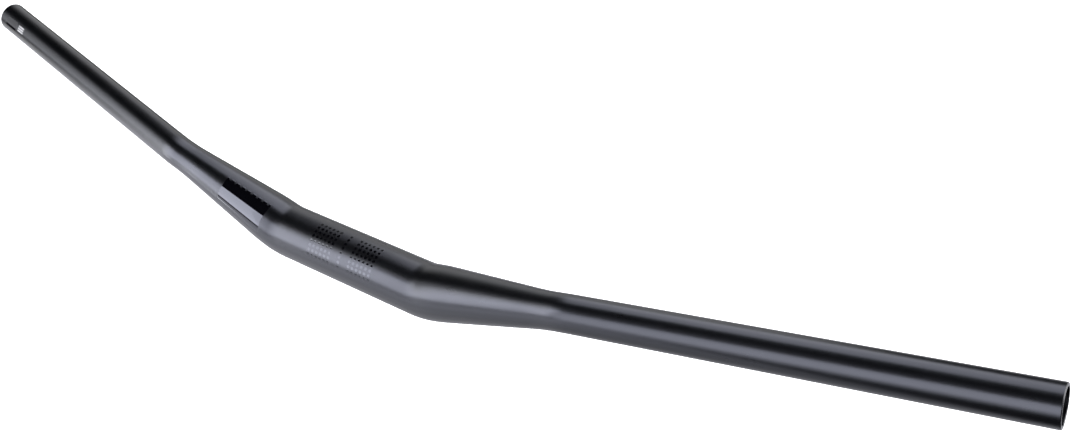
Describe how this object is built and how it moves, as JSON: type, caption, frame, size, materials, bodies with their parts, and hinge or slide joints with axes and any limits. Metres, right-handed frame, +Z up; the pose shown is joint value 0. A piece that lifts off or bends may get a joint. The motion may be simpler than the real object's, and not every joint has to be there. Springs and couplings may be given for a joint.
{
  "type": "bicycle handlebar",
  "caption": "Riser handlebar for a mountain bicycle: a one-piece tapered aluminium tube that rises from a wide central clamp to two swept-back grips with open ends.",
  "frame": {"origin": "middle of the clamp, on the clamp's axis", "axes": "+X along the clamp towards the rider's left grip, +Y back towards the rider, +Z up, with the bar turned as it sits in the stem"},
  "size_m": [0.8042, 0.0707, 0.0836],
  "materials": {
    "handlebar": "satin"
  },
  "bodies": {
    "root": {"handlebar": "handlebar"}
  },
  "joints": []
}
